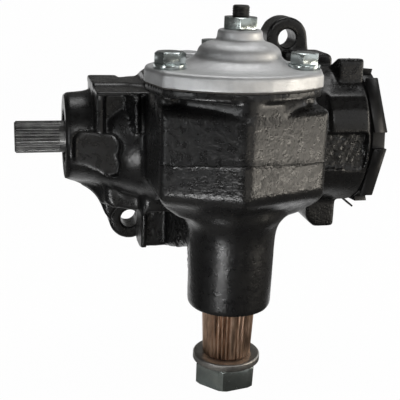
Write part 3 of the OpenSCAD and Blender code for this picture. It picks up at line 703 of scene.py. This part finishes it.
def dress():
    """Gives every piece its surface."""
    paint(cast_housing(), casting_paint())
    paint(cast_cover(), cast_aluminium())
    bright = zinc("bright_zinc", (0.46, 0.52, 0.515), (0.60, 0.65, 0.64))
    dull = zinc("dull_zinc", (0.33, 0.375, 0.36), (0.47, 0.51, 0.49))
    bronze = steel("sintered_bronze", (0.3, 0.19, 0.08), (0.5, 0.34, 0.16), 0.42)
    ground = steel("ground_steel", (0.38, 0.38, 0.38), (0.55, 0.55, 0.54), 0.25)
    polished = steel("ball_steel", (0.6, 0.6, 0.6), (0.72, 0.72, 0.72), 0.14, 0.0)
    grey = steel("grey_steel", (0.26, 0.25, 0.235), (0.46, 0.445, 0.42), 0.36)
    phosphate = steel("dark_phosphate", (0.085, 0.085, 0.085), (0.21, 0.21, 0.205), 0.42)
    oxide = steel("black_oxide", (0.05, 0.05, 0.048), (0.12, 0.118, 0.112), 0.42)
    black = ring_paint()
    rubber = soft_stuff("nitrile_rubber", (0.012, 0.012, 0.012), (0.025, 0.025, 0.025), 0.6)
    fibre = soft_stuff("gasket_fibre", (0.03, 0.028, 0.025), (0.06, 0.055, 0.05), 0.8)
    paint(lash_screw(), oxide)
    surfaces = {
        "cover_gasket": fibre, "cover_bolts": bright, "cover_lock_washers": bright,
        "cover_bushing": bronze, "lash_locknut": dull, "lash_shim": ground,
        "pitman_shaft": arm_spline_steel(), "pitman_bushing_upper": bronze,
        "pitman_bushing_lower": bronze, "pitman_seal": rubber, "pitman_lock_washer": grey,
        "pitman_nut": dull, "worm_shaft": phosphate, "ball_nut": ground, "ball_guides": grey,
        "guide_clamp": grey, "clamp_screws": oxide, "recirculating_balls": polished,
        "upper_bearing_cup": ground, "upper_bearing_balls": polished, "upper_bearing_cage": bronze,
        "lower_bearing_cup": ground, "lower_bearing_balls": polished, "lower_bearing_cage": bronze,
        "worm_seal": rubber, "adjuster_plug": oxide, "adjuster_locknut": black,
        "adjuster_tab_washer": black,
    }
    for name, material in surfaces.items():
        paint(nodes[name], material)
    for name, width in EDGE_BREAKS.items():
        soften(name, width)


def aim_camera():
    """The photograph's camera, from its angles and one known point."""
    turn, tilt, roll = (math.radians(a) for a in (VIEW_TURN, VIEW_TILT, VIEW_ROLL))
    back = Vector((-math.sin(turn) * math.cos(tilt), -math.cos(turn) * math.cos(tilt), math.sin(tilt)))
    side = Vector((math.cos(turn), -math.sin(turn), 0.0))
    above = back.cross(side)
    right = side * math.cos(roll) + above * math.sin(roll)
    up = above * math.cos(roll) - side * math.sin(roll)
    across = (ANCHOR_PIXEL[0] - IMAGE / 2) / FOCAL * ANCHOR_DEPTH
    rise = (IMAGE / 2 - ANCHOR_PIXEL[1]) / FOCAL * ANCHOR_DEPTH
    place = ANCHOR + back * ANCHOR_DEPTH - right * across - up * rise
    data = bpy.data.cameras.new("photo_camera")
    data.sensor_width = SENSOR
    data.lens = FOCAL / IMAGE * SENSOR
    data.clip_start = 0.01
    data.clip_end = 20.0
    camera = add_object("photo_camera", data)
    rotation = Matrix((right, up, back)).transposed().to_4x4()
    camera.matrix_world = Matrix.Translation(place) @ rotation
    bpy.context.scene.camera = camera


def area_light(name, place, target, size, power, colour):
    """A flat lamp at a place, turned to a target."""
    data = bpy.data.lights.new(name, "AREA")
    data.shape = "RECTANGLE"
    data.size, data.size_y = size
    data.energy = power
    data.color = colour
    lamp = add_object(name, data)
    lamp.location = place
    lamp.rotation_euler = (Vector(target) - Vector(place)).to_track_quat("-Z", "Y").to_euler()


def light_studio():
    """Soft lamps at the right, above, in front and at the left, and bright cards low in front."""
    for name, (place, size, power, colour) in LAMPS.items():
        area_light(name, place, MIDDLE, size, power, colour)
    for name, ((x, y), size, power, colour) in LOW_LAMPS.items():
        area_light(name, (x, y, LOW_LAMP_Z), (x, y, 1.0), size, power, colour)


def white_for_sight(tree, target, plain, kind, share):
    """White to the camera and in reflections, by the given share; the plain shader for other light."""
    path = tree.nodes.new("ShaderNodeLightPath")
    seen = path.outputs["Is Camera Ray"]
    for name in ("Is Glossy Ray", "Is Transmission Ray"):
        either = tree.nodes.new("ShaderNodeMath")
        either.operation = "MAXIMUM"
        tree.links.new(seen, either.inputs[0])
        tree.links.new(path.outputs[name], either.inputs[1])
        seen = either.outputs[0]
    part = tree.nodes.new("ShaderNodeMath")
    part.operation = "MULTIPLY"
    tree.links.new(seen, part.inputs[0])
    part.inputs[1].default_value = share
    white = tree.nodes.new(kind)
    white.inputs["Color"].default_value = (1.0, 1.0, 1.0, 1.0)
    white.inputs["Strength"].default_value = 1.0
    mix = tree.nodes.new("ShaderNodeMixShader")
    tree.links.new(part.outputs[0], mix.inputs["Fac"])
    tree.links.new(plain, mix.inputs[1])
    tree.links.new(white.outputs[0], mix.inputs[2])
    tree.links.new(mix.outputs["Shader"], target)


def flag_cloth(shade):
    """Dull cloth of one grey."""
    m = Paint("flag_cloth_%d" % round(shade * 100))
    m.base(m.colours(m.noise(60, 3), [(0.3, (shade * 0.9,) * 3), (0.7, (shade * 1.1,) * 3)]))
    m.rough(m.spread(m.noise(30, 2), 0.8, 0.95))
    return m.material


def upright(x0, y0, x1, y1, low):
    """Corners of a standing panel from one place on the floor to another."""
    return (x0, y0, low), (x1, y1, low), (x1, y1, SET_TOP), (x0, y0, SET_TOP)


def level(x0, x1, y0, y1, height):
    """Corners of a lying panel."""
    return (x0, y0, height), (x1, y0, height), (x1, y1, height), (x0, y1, height)


def sheet(name, corners):
    """A flat four-cornered object."""
    mesh = bpy.data.meshes.new(name)
    mesh.from_pydata(corners, [], [(0, 1, 2, 3)])
    return add_object(name, mesh)


def studio_flags():
    """Grey panels round the set, out of the camera's sight, that darken sides of metal and gloss."""
    panels = {
        "front_flag": (FLAG_PALE, upright(-SET_SIDE, SET_FRONT, 0.5, SET_FRONT, PANEL_Z)),
        "over_flag": (FLAG_DARK, level(-SET_SIDE, SET_SIDE, SET_FRONT, SET_BACK, SET_TOP)),
        "floor_flag": (FLAG_DARK, level(-SET_SIDE, SET_SIDE, SET_FRONT, FLAG_EDGE, PANEL_Z)),
        "left_wing": (FLAG_MID, level(-SET_SIDE, -0.1, FLAG_EDGE, WING_BACK, PANEL_Z)),
        "right_wing": (FLAG_MID, level(0.12, SET_SIDE, FLAG_EDGE, WING_BACK, PANEL_Z)),
        "dark_card": (FLAG_BLACK, level(-0.38, -0.02, -0.62, -0.28, CARD_Z)),
        "nut_card": (FLAG_WHITE, level(-0.1, -0.006, -0.11, FLAG_EDGE, CARD_Z)),
        "left_flag": (FLAG_MID, upright(-SET_SIDE, SET_FRONT, -SET_SIDE, SET_BACK, PANEL_Z)),
        "right_flag": (FLAG_PALE, upright(SET_SIDE, SET_FRONT, SET_SIDE, 0.3, PANEL_Z)),
        "back_flag": (FLAG_PALE, upright(-SET_SIDE, SET_BACK, SET_SIDE, SET_BACK, BACK_FLAG_LOW)),
    }
    shades = (FLAG_BLACK, FLAG_DARK, FLAG_MID, FLAG_PALE, FLAG_WHITE)
    cloths = {shade: flag_cloth(shade) for shade in shades}
    for name, (shade, corners) in panels.items():
        panel = sheet(name, corners)
        panel.visible_camera = False
        panel.visible_shadow = False
        paint(panel, cloths[shade])


def build_world():
    """A dim even fill that is white to the eye and in reflections."""
    world = bpy.data.worlds.new("studio")
    bpy.context.scene.world = world
    world.use_nodes = True
    tree = world.node_tree
    fill = tree.nodes["Background"]
    fill.inputs["Color"].default_value = (1.0, 1.0, 1.0, 1.0)
    fill.inputs["Strength"].default_value = WORLD_FILL
    output = tree.nodes["World Output"].inputs["Surface"]
    white_for_sight(tree, output, fill.outputs["Background"], "ShaderNodeBackground", 1.0)


def lay_floor():
    """A wide pale floor just under the pitman shaft, near white to the eye, with a faint soft shadow."""
    floor = sheet("floor", level(-FLOOR_HALF, FLOOR_HALF, -FLOOR_HALF, FLOOR_HALF, FLOOR_Z))
    m = Paint("pale_floor")
    m.base(m.colours(m.noise(400, 2), [(0.3, (0.93, 0.93, 0.93)), (0.7, (0.96, 0.96, 0.96))]))
    m.rough(m.spread(m.noise(90, 2), 0.75, 0.9))
    output = m.tree.nodes["Material Output"].inputs["Surface"]
    white_for_sight(m.tree, output, m.shader.outputs["BSDF"], "ShaderNodeEmission", FLOOR_WHITE)
    paint(floor, m.material)


dress()
aim_camera()
light_studio()
studio_flags()
build_world()
lay_floor()
bpy.context.scene.view_settings.view_transform = "Standard"
